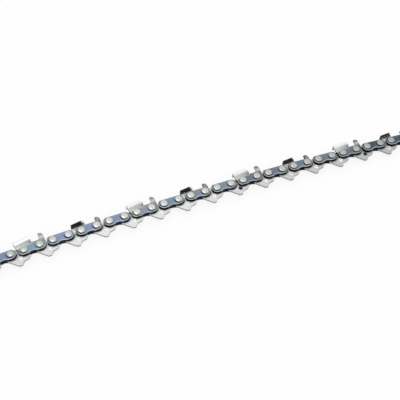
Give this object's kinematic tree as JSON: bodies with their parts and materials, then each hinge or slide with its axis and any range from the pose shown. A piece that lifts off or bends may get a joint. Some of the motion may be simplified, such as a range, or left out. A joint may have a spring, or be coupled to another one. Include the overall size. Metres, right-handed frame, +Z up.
{
  "type": "saw chain length",
  "caption": "Open length of saw chain: drive links with tangs riveted between tie straps and left and right cutters, each rivet a pivot.",
  "frame": {"origin": "under the middle of the chain, on the surface that it lies on", "axes": "+X the way the chain runs, +Y the side on which the cutters stand, +Z up along the rivets"},
  "size_m": [0.3194, 0.0223, 0.0079],
  "materials": {
    "drive_steel": "bright, lightly tumbled",
    "strap_steel": "blued, polished faces with dark punched edges",
    "cutter_chrome": "thin chrome over blued steel",
    "rivet_steel": "bright spun heads"
  },
  "bodies": {
    "drive_00": {"drive_link_00": "drive_steel"},
    "link_01": {"tie_straps_01": "strap_steel", "rivets_01": "rivet_steel"},
    "drive_01": {"drive_link_01": "drive_steel"},
    "link_02": {"right_cutter_02": "cutter_chrome", "left_strap_02": "strap_steel", "rivets_02": "rivet_steel"},
    "drive_02": {"drive_link_02": "drive_steel"},
    "link_03": {"tie_straps_03": "strap_steel", "rivets_03": "rivet_steel"},
    "drive_03": {"drive_link_03": "drive_steel"},
    "link_04": {"left_cutter_04": "cutter_chrome", "right_strap_04": "strap_steel", "rivets_04": "rivet_steel"},
    "drive_04": {"drive_link_04": "drive_steel"},
    "link_05": {"tie_straps_05": "strap_steel", "rivets_05": "rivet_steel"},
    "drive_05": {"drive_link_05": "drive_steel"},
    "link_06": {"right_cutter_06": "cutter_chrome", "left_strap_06": "strap_steel", "rivets_06": "rivet_steel"},
    "drive_06": {"drive_link_06": "drive_steel"},
    "link_07": {"tie_straps_07": "strap_steel", "rivets_07": "rivet_steel"},
    "drive_07": {"drive_link_07": "drive_steel"},
    "link_08": {"left_cutter_08": "cutter_chrome", "right_strap_08": "strap_steel", "rivets_08": "rivet_steel"},
    "drive_08": {"drive_link_08": "drive_steel"},
    "link_09": {"tie_straps_09": "strap_steel", "rivets_09": "rivet_steel"},
    "drive_09": {"drive_link_09": "drive_steel"},
    "link_10": {"right_cutter_10": "cutter_chrome", "left_strap_10": "strap_steel", "rivets_10": "rivet_steel"},
    "drive_10": {"drive_link_10": "drive_steel"},
    "link_11": {"tie_straps_11": "strap_steel", "rivets_11": "rivet_steel"},
    "drive_11": {"drive_link_11": "drive_steel"},
    "link_12": {"left_cutter_12": "cutter_chrome", "right_strap_12": "strap_steel", "rivets_12": "rivet_steel"},
    "drive_12": {"drive_link_12": "drive_steel"},
    "link_13": {"tie_straps_13": "strap_steel", "rivets_13": "rivet_steel"},
    "drive_13": {"drive_link_13": "drive_steel"},
    "link_14": {"right_cutter_14": "cutter_chrome", "left_strap_14": "strap_steel", "rivets_14": "rivet_steel"},
    "drive_14": {"drive_link_14": "drive_steel"},
    "link_15": {"tie_straps_15": "strap_steel", "rivets_15": "rivet_steel"},
    "drive_15": {"drive_link_15": "drive_steel"},
    "link_16": {"left_cutter_16": "cutter_chrome", "right_strap_16": "strap_steel", "rivets_16": "rivet_steel"},
    "drive_16": {"drive_link_16": "drive_steel"}
  },
  "joints": [
    {"name": "pivot_00", "type": "hinge", "parent": "link_01", "child": "drive_00", "pos_m": [-0.14799, -0.00136, 0.00395], "axis": [0, 0, 1], "range_deg": [-15, 30]},
    {"name": "pivot_01", "type": "hinge", "parent": "drive_01", "child": "link_01", "pos_m": [-0.13761, -0.00078, 0.00395], "axis": [0, 0, -1], "range_deg": [-30, 15]},
    {"name": "pivot_02", "type": "hinge", "parent": "link_02", "child": "drive_01", "pos_m": [-0.12897, -0.00034, 0.00395], "axis": [0, 0, 1], "range_deg": [-15, 30]},
    {"name": "pivot_03", "type": "hinge", "parent": "drive_02", "child": "link_02", "pos_m": [-0.11858, 0.00016, 0.00395], "axis": [0, 0, -1], "range_deg": [-30, 15]},
    {"name": "pivot_04", "type": "hinge", "parent": "link_03", "child": "drive_02", "pos_m": [-0.10994, 0.00054, 0.00395], "axis": [0, 0, 1], "range_deg": [-15, 30]},
    {"name": "pivot_05", "type": "hinge", "parent": "drive_03", "child": "link_03", "pos_m": [-0.09955, 0.00095, 0.00395], "axis": [0, 0, -1], "range_deg": [-30, 15]},
    {"name": "pivot_06", "type": "hinge", "parent": "link_04", "child": "drive_03", "pos_m": [-0.09091, 0.00127, 0.00395], "axis": [0, 0, 1], "range_deg": [-15, 30]},
    {"name": "pivot_07", "type": "hinge", "parent": "drive_04", "child": "link_04", "pos_m": [-0.08051, 0.00161, 0.00395], "axis": [0, 0, -1], "range_deg": [-30, 15]},
    {"name": "pivot_08", "type": "hinge", "parent": "link_05", "child": "drive_04", "pos_m": [-0.07187, 0.00187, 0.00395], "axis": [0, 0, 1], "range_deg": [-15, 30]},
    {"name": "pivot_09", "type": "hinge", "parent": "drive_05", "child": "link_05", "pos_m": [-0.06147, 0.00214, 0.00395], "axis": [0, 0, -1], "range_deg": [-30, 15]},
    {"name": "pivot_10", "type": "hinge", "parent": "link_06", "child": "drive_05", "pos_m": [-0.05282, 0.00233, 0.00395], "axis": [0, 0, 1], "range_deg": [-15, 30]},
    {"name": "pivot_11", "type": "hinge", "parent": "drive_06", "child": "link_06", "pos_m": [-0.04242, 0.00252, 0.00395], "axis": [0, 0, -1], "range_deg": [-30, 15]},
    {"name": "pivot_12", "type": "hinge", "parent": "link_07", "child": "drive_06", "pos_m": [-0.03377, 0.00264, 0.00395], "axis": [0, 0, 1], "range_deg": [-15, 30]},
    {"name": "pivot_13", "type": "hinge", "parent": "drive_07", "child": "link_07", "pos_m": [-0.02337, 0.00276, 0.00395], "axis": [0, 0, -1], "range_deg": [-30, 15]},
    {"name": "pivot_14", "type": "hinge", "parent": "link_08", "child": "drive_07", "pos_m": [-0.01472, 0.00282, 0.00395], "axis": [0, 0, 1], "range_deg": [-15, 30]},
    {"name": "pivot_15", "type": "hinge", "parent": "drive_08", "child": "link_08", "pos_m": [-0.00432, 0.00286, 0.00395], "axis": [0, 0, -1], "range_deg": [-30, 15]},
    {"name": "pivot_16", "type": "hinge", "parent": "drive_08", "child": "link_09", "pos_m": [0.00432, 0.00286, 0.00395], "axis": [0, 0, -1], "range_deg": [-15, 30]},
    {"name": "pivot_17", "type": "hinge", "parent": "link_09", "child": "drive_09", "pos_m": [0.01472, 0.00282, 0.00395], "axis": [0, 0, 1], "range_deg": [-30, 15]},
    {"name": "pivot_18", "type": "hinge", "parent": "drive_09", "child": "link_10", "pos_m": [0.02337, 0.00276, 0.00395], "axis": [0, 0, -1], "range_deg": [-15, 30]},
    {"name": "pivot_19", "type": "hinge", "parent": "link_10", "child": "drive_10", "pos_m": [0.03377, 0.00264, 0.00395], "axis": [0, 0, 1], "range_deg": [-30, 15]},
    {"name": "pivot_20", "type": "hinge", "parent": "drive_10", "child": "link_11", "pos_m": [0.04242, 0.00252, 0.00395], "axis": [0, 0, -1], "range_deg": [-15, 30]},
    {"name": "pivot_21", "type": "hinge", "parent": "link_11", "child": "drive_11", "pos_m": [0.05282, 0.00233, 0.00395], "axis": [0, 0, 1], "range_deg": [-30, 15]},
    {"name": "pivot_22", "type": "hinge", "parent": "drive_11", "child": "link_12", "pos_m": [0.06147, 0.00214, 0.00395], "axis": [0, 0, -1], "range_deg": [-15, 30]},
    {"name": "pivot_23", "type": "hinge", "parent": "link_12", "child": "drive_12", "pos_m": [0.07187, 0.00187, 0.00395], "axis": [0, 0, 1], "range_deg": [-30, 15]},
    {"name": "pivot_24", "type": "hinge", "parent": "drive_12", "child": "link_13", "pos_m": [0.08051, 0.00161, 0.00395], "axis": [0, 0, -1], "range_deg": [-15, 30]},
    {"name": "pivot_25", "type": "hinge", "parent": "link_13", "child": "drive_13", "pos_m": [0.09091, 0.00127, 0.00395], "axis": [0, 0, 1], "range_deg": [-30, 15]},
    {"name": "pivot_26", "type": "hinge", "parent": "drive_13", "child": "link_14", "pos_m": [0.09955, 0.00095, 0.00395], "axis": [0, 0, -1], "range_deg": [-15, 30]},
    {"name": "pivot_27", "type": "hinge", "parent": "link_14", "child": "drive_14", "pos_m": [0.10994, 0.00054, 0.00395], "axis": [0, 0, 1], "range_deg": [-30, 15]},
    {"name": "pivot_28", "type": "hinge", "parent": "drive_14", "child": "link_15", "pos_m": [0.11858, 0.00016, 0.00395], "axis": [0, 0, -1], "range_deg": [-15, 30]},
    {"name": "pivot_29", "type": "hinge", "parent": "link_15", "child": "drive_15", "pos_m": [0.12897, -0.00034, 0.00395], "axis": [0, 0, 1], "range_deg": [-30, 15]},
    {"name": "pivot_30", "type": "hinge", "parent": "drive_15", "child": "link_16", "pos_m": [0.13761, -0.00078, 0.00395], "axis": [0, 0, -1], "range_deg": [-15, 30]},
    {"name": "pivot_31", "type": "hinge", "parent": "link_16", "child": "drive_16", "pos_m": [0.14799, -0.00136, 0.00395], "axis": [0, 0, 1], "range_deg": [-30, 15]}
  ]
}
